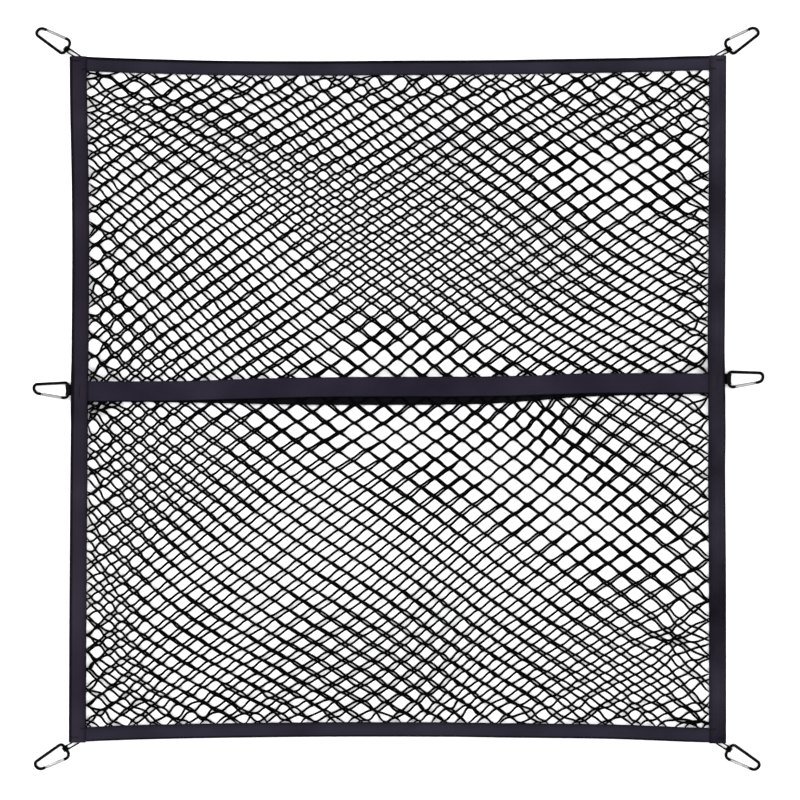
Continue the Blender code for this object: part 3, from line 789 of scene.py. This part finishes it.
def on_top(tree, x, y):
    hit = tree.ray_cast(Vector((x, y, 0.05)), Vector((0, 0, -1)))[0]
    return hit if hit is not None else tree.find_nearest(Vector((x, y, 0.005)))[0]


def bar_tack(shape, tree, middle, length, heading):
    """A dense zigzag of thread over a seam's end."""
    forward = Vector((math.cos(heading), math.sin(heading)))
    aside = Vector((-forward.y, forward.x))
    points = []
    for index in range(2 * TACK_TURNS + 1):
        spot = (Vector(middle) + forward * length * (index / (2 * TACK_TURNS) - 0.5)
                + aside * TACK_WIDTH * (0.5 if index % 2 else -0.5))
        points.append(on_top(tree, *spot) + Vector((0, 0, 0.0001)))
    tube(shape, points, [TACK_THREAD] * len(points), 5)


# ---------- snap clips

def rounded(corners, start, end, step):
    """Points from start to end round the corners, each (s, t, fillet)."""
    stops = [Vector(start)] + [Vector(corner[:2]) for corner in corners] + [Vector(end)]
    points = [stops[0]]
    for index, corner in enumerate(corners):
        here = stops[index + 1]
        back = (stops[index] - here).normalized()
        onward = (stops[index + 2] - here).normalized()
        half = back.angle(onward) / 2
        centre = here + (back + onward).normalized() * corner[2] / math.sin(half)
        first = here + back * corner[2] / math.tan(half) - centre
        turn = math.copysign(math.pi - 2 * half, back.x * onward.y - back.y * onward.x) * -1
        count = max(2, round(abs(turn) / step))
        for number in range(count + 1):
            points.append(centre + Matrix.Rotation(turn * number / count, 2) @ first)
    return points + [stops[-1]]


def clip_lines():
    wide, narrow = Vector(CLIP_CORNERS[0][:2]), Vector(CLIP_CORNERS[-1][:2])
    heading = (wide - narrow).normalized()
    pivot = narrow + heading * (GATE_START - narrow.x) / heading.x
    free = narrow + heading * (GATE_END - narrow.x) / heading.x
    return pivot, free, heading


def clip_frame(point, heading, side, across, rod_height):
    wide = CLIP_LENGTH - ROD
    tilt = math.asin((rod_height - ROD) / (wide - ROD))
    flip = 0.0 if side > 0 else math.pi
    return (Matrix.Translation((*point, rod_height)) @ Matrix.Rotation(math.radians(heading), 4, "Z")
            @ Matrix.Rotation(-tilt, 4, "Y") @ Matrix.Rotation(flip, 4, "X")
            @ Matrix.Translation((-wide, -across, 0.0)))


def add_drum(solid, matrix, segments, radius, depth, end=None):
    bmesh.ops.create_cone(solid, cap_ends=True, segments=segments, radius1=radius,
                          radius2=radius if end is None else end, depth=depth, matrix=matrix)


def hard_object(name, mesh, finish, body):
    mesh.shade_smooth()
    mesh.set_sharp_from_angle(angle=math.radians(35))
    mesh.materials.clear()
    mesh.materials.append(finish)
    made = bpy.data.objects.new(name, mesh)
    bpy.context.scene.collection.objects.link(made)
    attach(made, body)
    return made


def clip_body_mesh():
    """Bent rod with its cut nose, the flat tongue for the gate, and the pin's domed heads."""
    pivot, free, heading = clip_lines()
    nose = free + heading * GATE_CLEARANCE
    shoulder = pivot - heading * (GATE_ROD + GATE_CLEARANCE)
    flat = rounded(CLIP_CORNERS, nose, shoulder, math.radians(6))
    points = [Vector((point.x, point.y, 0.0)) for point in flat]
    first = points[0] + (points[1] - points[0]).normalized() * 0.0003
    last = points[-1] + (points[-2] - points[-1]).normalized() * 0.0003
    points = [points[0], first] + points[1:-1] + [last, points[-1]]
    thick = ROD + PAINT
    radii = [thick * 0.86, thick] + [thick] * (len(points) - 4) + [thick, thick * 0.86]
    shape = Shape()
    tube(shape, points, radii, 20)
    mesh = bpy.data.meshes.new("clip_rod")
    mesh.from_pydata(shape.points, [], shape.faces)
    solid = bmesh.new()
    solid.from_mesh(mesh)
    turn = Matrix.Translation((*pivot, 0.0)) @ Matrix.Rotation(math.atan2(heading.y, heading.x), 4, "Z")
    root = GATE_ROD + GATE_CLEARANCE + 0.0012
    tongue = bmesh.ops.create_cube(solid, size=1.0, matrix=turn @ Matrix.Translation((-root / 2, 0, 0))
                                   @ Matrix.Diagonal((root, 2 * TONGUE_RADIUS, TONGUE_THICK, 1.0)))
    edges = list(dict.fromkeys(edge for vert in tongue["verts"] for edge in vert.link_edges))
    bmesh.ops.bevel(solid, geom=edges, offset=0.0002, segments=2, profile=0.5, affect="EDGES")
    add_drum(solid, turn, 28, TONGUE_RADIUS, TONGUE_THICK)
    add_drum(solid, turn, 20, PIN, PIN_HEIGHT - 0.0004)
    for way in (1, -1):
        head = turn @ Matrix.Translation((0, 0, way * (PIN_HEIGHT / 2 - 0.0001)))
        if way < 0:
            head = head @ Matrix.Rotation(math.pi, 4, "X")
        add_drum(solid, head, 20, PIN, 0.0003, PIN * 0.6)
    solid.to_mesh(mesh)
    solid.free()
    return mesh


def gate_mesh():
    """Bright rod along +X from its pivot: rounded there, slotted over the tongue, bevelled at the nose."""
    pivot, free, _ = clip_lines()
    length = (free - pivot).length
    profile = [(-GATE_ROD * math.cos(math.radians(turn)), GATE_ROD * math.sin(math.radians(turn)))
               for turn in range(10, 91, 10)]
    profile += [(0.004, GATE_ROD), (0.0043, GATE_ROD * 0.955), (0.0047, GATE_ROD * 0.955),
                (0.0050, GATE_ROD), (length - 0.0028, GATE_ROD), (length - 0.0025, GATE_ROD * 0.95),
                (length - 0.0022, GATE_ROD), (length - 0.0003, GATE_ROD), (length, GATE_ROD * 0.88)]
    shape = Shape()
    tube(shape, [Vector((place, 0, 0)) for place, _ in profile], [radius for _, radius in profile], 24)
    rod = bpy.data.meshes.new("gate_rod")
    rod.from_pydata(shape.points, [], shape.faces)
    slot = TONGUE_RADIUS + GATE_CLEARANCE
    slot_tool, hole_tool = bmesh.new(), bmesh.new()
    bmesh.ops.create_cube(slot_tool, size=1.0, matrix=Matrix.Translation(((slot - 0.004) / 2, 0, 0))
                          @ Matrix.Diagonal((slot + 0.004, 4 * GATE_ROD,
                                             TONGUE_THICK + 2 * GATE_CLEARANCE, 1.0)))
    add_drum(hole_tool, Matrix(), 20, PIN + GATE_CLEARANCE / 2, 4 * GATE_ROD)
    holder = bpy.data.objects.new("holder", rod)
    bpy.context.scene.collection.objects.link(holder)
    cutters = []
    for tool in (slot_tool, hole_tool):
        mesh = bpy.data.meshes.new("gate_cutter")
        tool.to_mesh(mesh)
        tool.free()
        cutter = bpy.data.objects.new("gate_cutter", mesh)
        bpy.context.scene.collection.objects.link(cutter)
        cutters.append(cutter)
        cutting = holder.modifiers.new("Cut", "BOOLEAN")
        cutting.operation = "DIFFERENCE"
        cutting.solver = "EXACT"
        cutting.object = cutter
    depsgraph = bpy.context.evaluated_depsgraph_get()
    result = bpy.data.meshes.new_from_object(holder.evaluated_get(depsgraph))
    for helper in [holder] + cutters:
        bpy.data.objects.remove(helper)
    return result


def place_clip(name, frame_matrix, body_mesh, leaf_mesh):
    pivot, _, heading = clip_lines()
    mesh = body_mesh.copy()
    mesh.transform(frame_matrix)
    body = hard_object("clip_body_" + name, mesh, black_metal, "net")
    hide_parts("clip_" + name)
    leaf = leaf_mesh.copy()
    leaf.transform(frame_matrix @ Matrix.Translation((*pivot, 0.0))
                   @ Matrix.Rotation(math.atan2(heading.y, heading.x), 4, "Z"))
    gate = hard_object("gate_leaf_" + name, leaf, bright_metal, "gate_" + name)
    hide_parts("gate_" + name)


def wide_end(t):
    """How far short of the wide end's full length the rod's middle line lies at t."""
    pivot, free, _ = clip_lines()
    line = [point for point in rounded(CLIP_CORNERS, free, pivot, math.radians(15))
            if point.x > CLIP_LENGTH / 2]
    for one, other in zip(line, line[1:]):
        if other.y <= t <= one.y:
            return CLIP_LENGTH - ROD - mix(other.x, one.x, (t - other.y) / (one.y - other.y))
    return 0.0


def tab_tape(side, fold, inward, finish):
    """Webbing folded round a side clip's rod, its legs under the border."""
    (x, middle), heading, _, across_clip = SIDE_CLIPS[side]
    lean = math.tan(math.radians(heading))
    edge = (along(fold, middle) - x) * inward
    bend = SIDE_ROD_HEIGHT - CLOTH / 2 - (CLOTH + TAB_GAP)
    loop = [(edge + TAB_LEG, CLOTH / 2), (edge / 2, CLOTH / 2)]
    for angle in range(270, -1, -15):
        turn = math.radians(angle)
        loop.append((TAB_RADIUS * math.cos(turn), SIDE_ROD_HEIGHT + TAB_RADIUS * math.sin(turn)))
    for angle in range(15, 91, 15):
        turn = math.radians(angle)
        loop.append((TAB_RADIUS + bend * (1 - math.cos(turn)), SIDE_ROD_HEIGHT - bend * math.sin(turn)))
    loop.append((edge + TAB_LEG, CLOTH / 2 + CLOTH + TAB_GAP))
    rows = []
    for across, height in loop:
        row = []
        for share in (0.0, 0.06, 0.28, 0.5, 0.72, 0.94, 1.0):
            out = TAB_WIDTH * (share - 0.5)
            rod = x - lean * out - inward * wide_end(across_clip - out)
            row.append(Vector((rod + inward * across, middle + out, height)))
        rows.append(row)
    made = cloth_strip("tab_tape_" + side, rows, finish)
    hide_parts("tab_" + side)
    length = sum((Vector(other) - Vector(one)).length for one, other in zip(loop, loop[1:]))
    return made


def cord_loop(name, frame_matrix, side):
    """Elastic cord from the tape's open end, round the rod, and back into the tape."""
    turns = []
    steps = 42
    for step in range(steps + 1):
        share = step / steps
        angle = mix(WRAP_START, WRAP_END, share)
        turns.append(frame_matrix @ Vector((CLIP_LENGTH - ROD + WRAP_RADIUS * math.cos(angle),
                                            mix(WRAP_FROM, WRAP_TO, share),
                                            side * WRAP_RADIUS * math.sin(angle))))
    first, last = CORD_STRANDS[name]
    coming = smooth_route([Vector(point) for point in first] + [turns[0]], 5)
    going = smooth_route([turns[-1]] + [Vector(point) for point in last], 5)
    route = coming[:-1] + turns + going[1:]
    shape = Shape()
    tube(shape, route, [CORD] * len(route), 12)
    made = shape.finish("cord_loop_" + name, elastic, "elastic")
    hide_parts("cord_" + name)
    length = sum((other - one).length for one, other in zip(route, route[1:]))
    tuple(route[0])


# ---------- the scene

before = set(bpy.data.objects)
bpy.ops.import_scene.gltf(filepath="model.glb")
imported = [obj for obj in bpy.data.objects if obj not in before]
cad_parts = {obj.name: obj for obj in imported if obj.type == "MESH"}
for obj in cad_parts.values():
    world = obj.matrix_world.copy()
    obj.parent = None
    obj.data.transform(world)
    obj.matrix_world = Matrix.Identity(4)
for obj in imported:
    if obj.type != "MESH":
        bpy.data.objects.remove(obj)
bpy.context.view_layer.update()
scene = bpy.context.scene

# Camera straight above, as the photograph, which is 1.0976 m wide at the net
lens, sensor, view_width = 100.0, 36.0, 1.0976
camera_data = bpy.data.cameras.new("camera")
camera_data.lens = lens
camera_data.sensor_width = sensor
camera = bpy.data.objects.new("camera", camera_data)
camera.location = (-0.0009, -0.0014, view_width * lens / sensor + 0.003)
scene.collection.objects.link(camera)
scene.camera = camera

netting = braided_finish("netting", (0.0001, 0.0001, 0.0002), (0.0012, 0.0010, 0.0014), 0.0016, 0.00010,
                         0.50)
elastic = braided_finish("elastic", (0.0002, 0.0002, 0.0003), (0.0016, 0.0016, 0.0019), 0.0012, 0.00014,
                         0.55)
# Folded tape: painted shade at its free edges, each end of the width, and along the fold
FOLDED_TAPE_SHADE = ((0.00, 0.55), (0.12, 0.90), (0.22, 1.00), (0.420, 1.00), (0.45, 0.30), (0.50, 0.10),
          (0.55, 0.30), (0.58, 1.00), (0.78, 1.00), (0.88, 0.90), (1.00, 0.55))
# Flat tape: painted shade at its two edges
FLAT_TAPE_SHADE = ((0.00, 0.30), (0.06, 1.00), (0.94, 1.00), (1.00, 0.30))
tape_left = webbing_finish("webbing_left", (0.0100, 0.0078, 0.0132), (0.0240, 0.0192, 0.0302), 0.0058,
                           SIDE_SECTION, FOLDED_TAPE_SHADE, -0.20)
tape_right = webbing_finish("webbing_right", (0.0014, 0.0008, 0.0023), (0.0206, 0.0176, 0.0270), 0.0058,
                            SIDE_SECTION, FOLDED_TAPE_SHADE, 0.20)
tape_ends = webbing_finish("webbing_ends", (0.0095, 0.0084, 0.0140), (0.0198, 0.0182, 0.0284), 0.0050,
                           END_SECTION, FOLDED_TAPE_SHADE)
tape_band = webbing_finish("webbing_band", (0.0054, 0.0042, 0.0093), (0.0164, 0.0138, 0.0230), 0.0068,
                           BAND_WIDTH, FLAT_TAPE_SHADE, 0.15)
# Back band: the band's webbing painted near-black, as painted shade under the front net
shaded_back_band_finish = webbing_finish("webbing_back_painted_shade", (0.0013, 0.0012, 0.0017), (0.0025, 0.0023, 0.0032), 0.0068,
                           BAND_WIDTH, FLAT_TAPE_SHADE)
tape_tab = webbing_finish("webbing_tab", (0.0015, 0.0014, 0.0018), (0.0050, 0.0047, 0.0054), 0.0036,
                          TAB_WIDTH, FLAT_TAPE_SHADE)
thread = braided_finish("thread", (0.0084, 0.0067, 0.0118), (0.0176, 0.0143, 0.0235), 0.0008, 0.00004, 0.50)
black_metal = metal_finish("black_metal", (0.0002, 0.0002, 0.0003), (0.0008, 0.0008, 0.0009), 0.0, 0.30,
                           0.46, 2200, 0.03)
bright_metal = metal_finish("bright_metal", (0.22, 0.22, 0.23), (0.34, 0.34, 0.35), 1.0, 0.36, 0.50, 2600)

clip_mesh, leaf_mesh = clip_body_mesh(), gate_mesh()
for name, (point, heading, side, across) in CORNER_CLIPS.items():
    matrix = clip_frame(point, heading, side, across, CORNER_ROD_HEIGHT)
    cord_loop(name, matrix, side)
    place_clip(name, matrix, clip_mesh, leaf_mesh)
for name, (point, heading, side, across) in SIDE_CLIPS.items():
    place_clip(name, clip_frame(point, heading, side, across, SIDE_ROD_HEIGHT), clip_mesh, leaf_mesh)

nets = {name: Surface(name) for name in ("net_back", "net_front")}
bands = {name: Surface(name) for name in ("band_back", "band_front")}
for layer, height in (("back", back_height), ("front", front_height)):
    pieces = [net_piece(f"net_{layer}_upper", height, True, netting),
              net_piece(f"net_{layer}_lower", height, False, netting)]
    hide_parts(f"net_{layer}")

tapes = {
    "left": border_tape("left", LEFT_FOLD, 1, tape_left),
    "right": border_tape("right", RIGHT_FOLD, -1, tape_right),
    "top": border_tape("top", TOP_FOLD, -1, tape_ends),
    "bottom": border_tape("bottom", BOTTOM_FOLD, 1, tape_ends),
    "band_back": band_tape("band_back", BACK_BAND, back_height, shaded_back_band_finish),
    "band_front": band_tape("band_front", FRONT_BAND, front_height, tape_band),
    "tab_left": tab_tape("left", LEFT_FOLD, 1, tape_tab),
    "tab_right": tab_tape("right", RIGHT_FOLD, -1, tape_tab),
}

# Stitch rows and bar tacks
tops = {name: tape_tops(made) for name, made in tapes.items()}
sewing = Shape()
for side, fold, inward in (("left", LEFT_FOLD, 1), ("right", RIGHT_FOLD, -1)):
    for distance in SIDE_SEAMS[side]:
        stitch_row(sewing, [on_top(tops[side], along(fold, y) + inward * distance, y)
                            for y in stations(fold[0][0] + 0.002, fold[-1][0] - 0.002, 0.004)])
for end, fold, inward in (("top", TOP_FOLD, -1), ("bottom", BOTTOM_FOLD, 1)):
    stitch_row(sewing, [on_top(tops[end], x, along(fold, x) + inward * END_SEAM)
                        for x in stations(-0.4270, 0.4180, 0.004)])
for aside in (-BAND_SEAM, BAND_SEAM):
    stitch_row(sewing, [on_top(tops["band_front"], x, along(FRONT_BAND, x) + aside)
                        for x in stations(-0.4260, 0.4180, 0.004)])
for name, middle, length, heading in TACKS:
    bar_tack(sewing, tops[name], middle, length, math.radians(heading))
sewing.finish("sewing", thread, "webbing")

# Floor and light
floor_mesh = bpy.data.meshes.new("floor")
floor_mesh.from_pydata([(-6, -6, -0.0004), (6, -6, -0.0004), (6, 6, -0.0004), (-6, 6, -0.0004)], [],
                       [(0, 1, 2, 3)])
floor = bpy.data.objects.new("floor", floor_mesh)
floor_mesh.materials.append(nodes_of("floor", (0.90, 0.90, 0.91), 0.9, specular=0.1)[0])
scene.collection.objects.link(floor)

world = bpy.data.worlds.new("studio")
world.use_nodes = True
sky = world.node_tree
heights = sky.nodes.new("ShaderNodeSeparateXYZ")
sky.links.new(sky.nodes.new("ShaderNodeTexCoord").outputs["Generated"], heights.inputs[0])
fall = sky.nodes.new("ShaderNodeValToRGB")
fall.color_ramp.elements[0].position = 0.25
fall.color_ramp.elements[1].position = 0.80
fall.color_ramp.elements[0].color = (0.12, 0.12, 0.12, 1.0)
fall.color_ramp.elements[1].color = (1.0, 1.0, 1.0, 1.0)
sky.links.new(heights.outputs["Z"], fall.inputs["Fac"])
sky.links.new(fall.outputs["Color"], sky.nodes["Background"].inputs["Color"])
sky.nodes["Background"].inputs["Strength"].default_value = 1.62
scene.world = world
scene.view_settings.view_transform = "Standard"
# Soft lights: name, place, size, watts
for name, place, size, power in (
        ("key", (-2.6, 0.9, 1.5), 1.2, 90.0),
        ("fill", (1.8, 0.8, 2.2), 1.8, 36.0),
        ("low", (0.2, -2.0, 2.0), 1.8, 29.0)):
    light = bpy.data.lights.new(name, "AREA")
    light.shape = "DISK"
    light.size = size
    light.energy = power
    lamp = bpy.data.objects.new(name, light)
    lamp.location = place
    lamp.rotation_mode = "QUATERNION"
    lamp.rotation_quaternion = Vector(place).to_track_quat("Z", "Y")
    scene.collection.objects.link(lamp)
